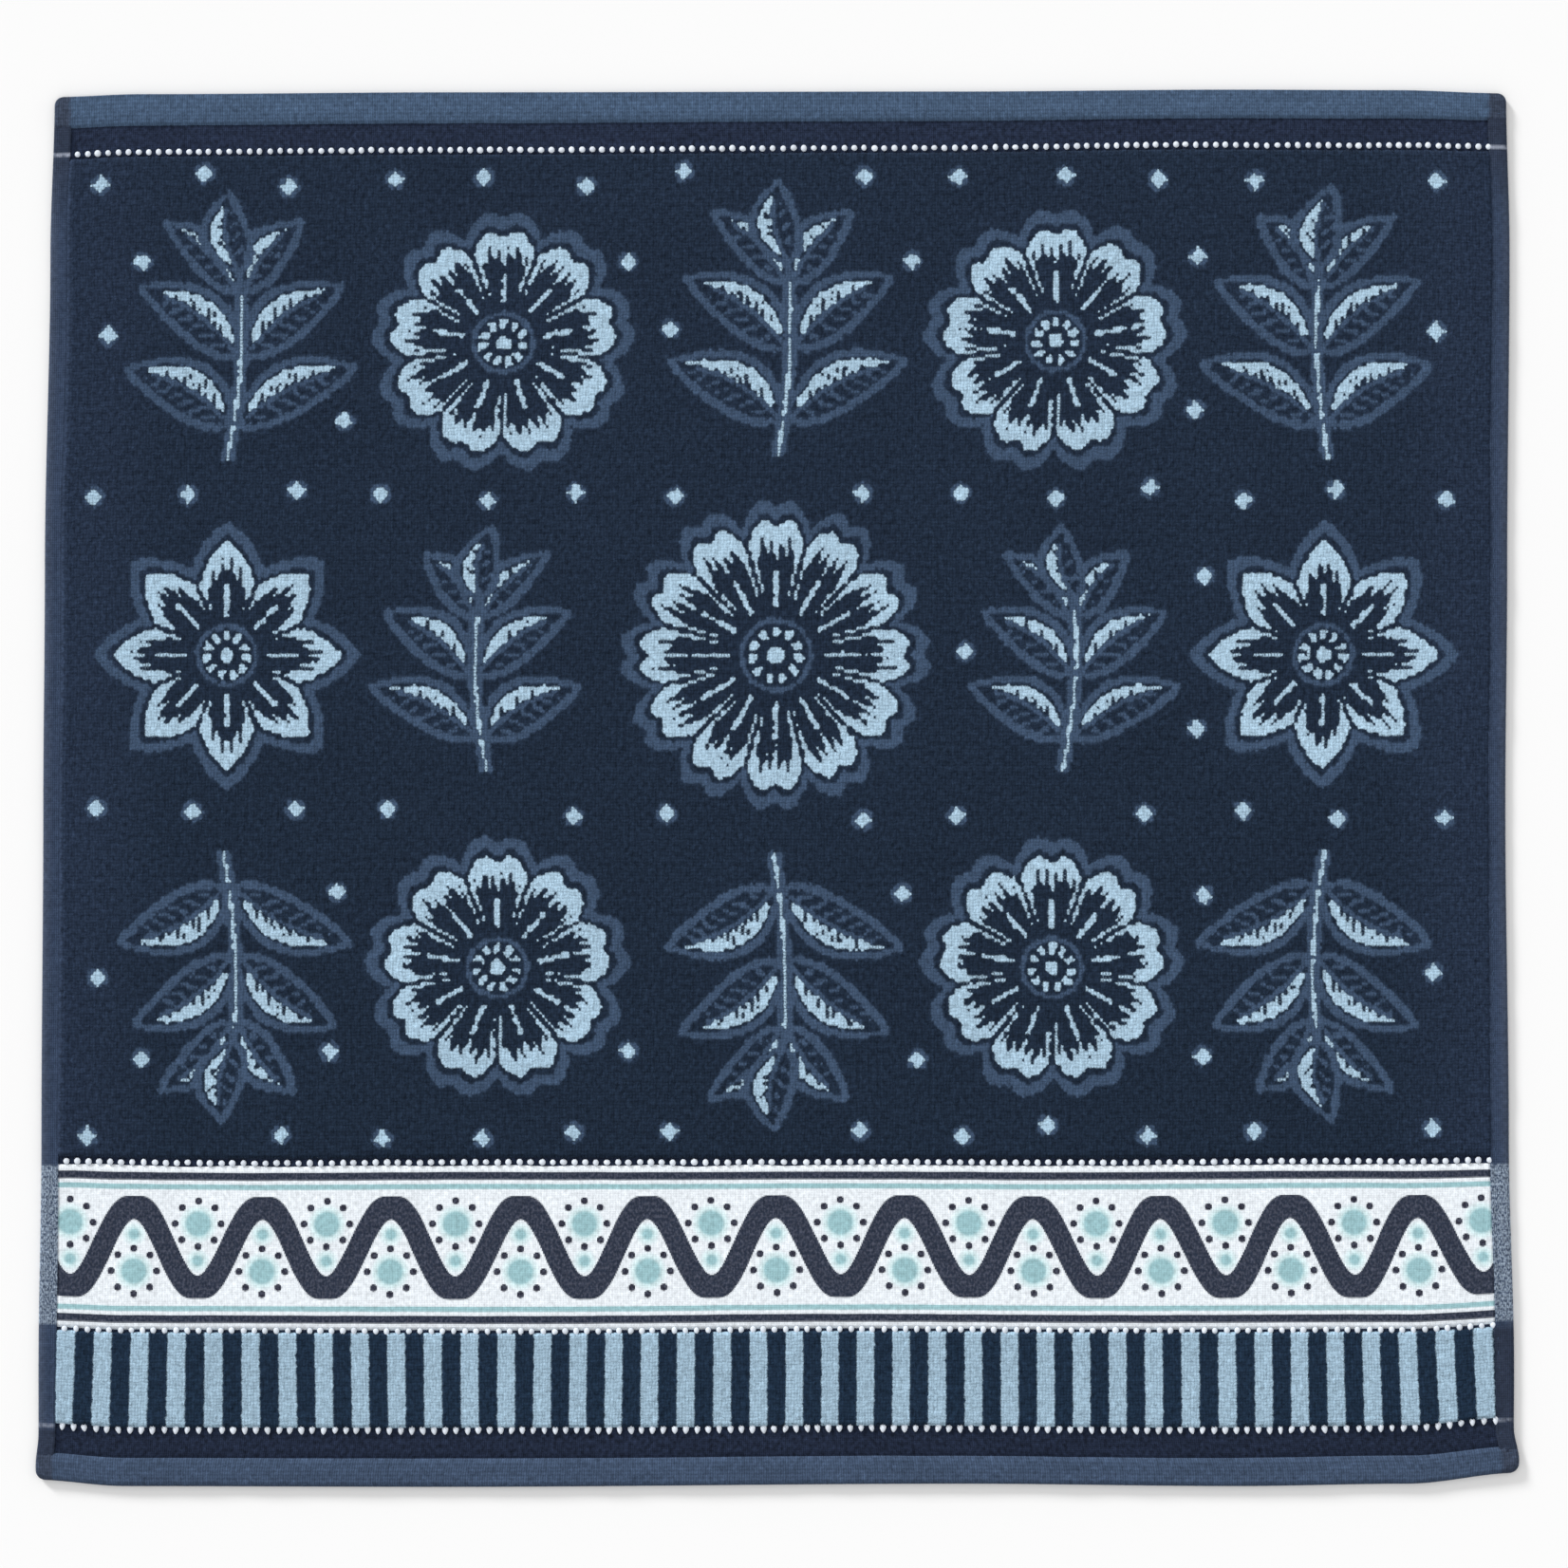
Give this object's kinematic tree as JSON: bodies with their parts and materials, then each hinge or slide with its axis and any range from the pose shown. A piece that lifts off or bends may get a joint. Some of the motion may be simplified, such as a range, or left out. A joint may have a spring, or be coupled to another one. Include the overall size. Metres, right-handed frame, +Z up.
{
  "type": "tea towel",
  "caption": "Rectangular terry kitchen towel lying flat, with turned hems, dotted rows, a flat patterned band and a striped terry border.",
  "frame": {"origin": "on the surface the towel lies on, under the middle of its extent", "axes": "+X along the two end hems, +Y towards the top hem, +Z up out of the cloth"},
  "size_m": [0.5584, 0.526, 0.0031],
  "materials": {
    "towel_terry": "matte cotton terry, navy with light blue, mid blue, white and teal pile"
  },
  "bodies": {
    "root": {"towel": "towel_terry"}
  },
  "joints": []
}
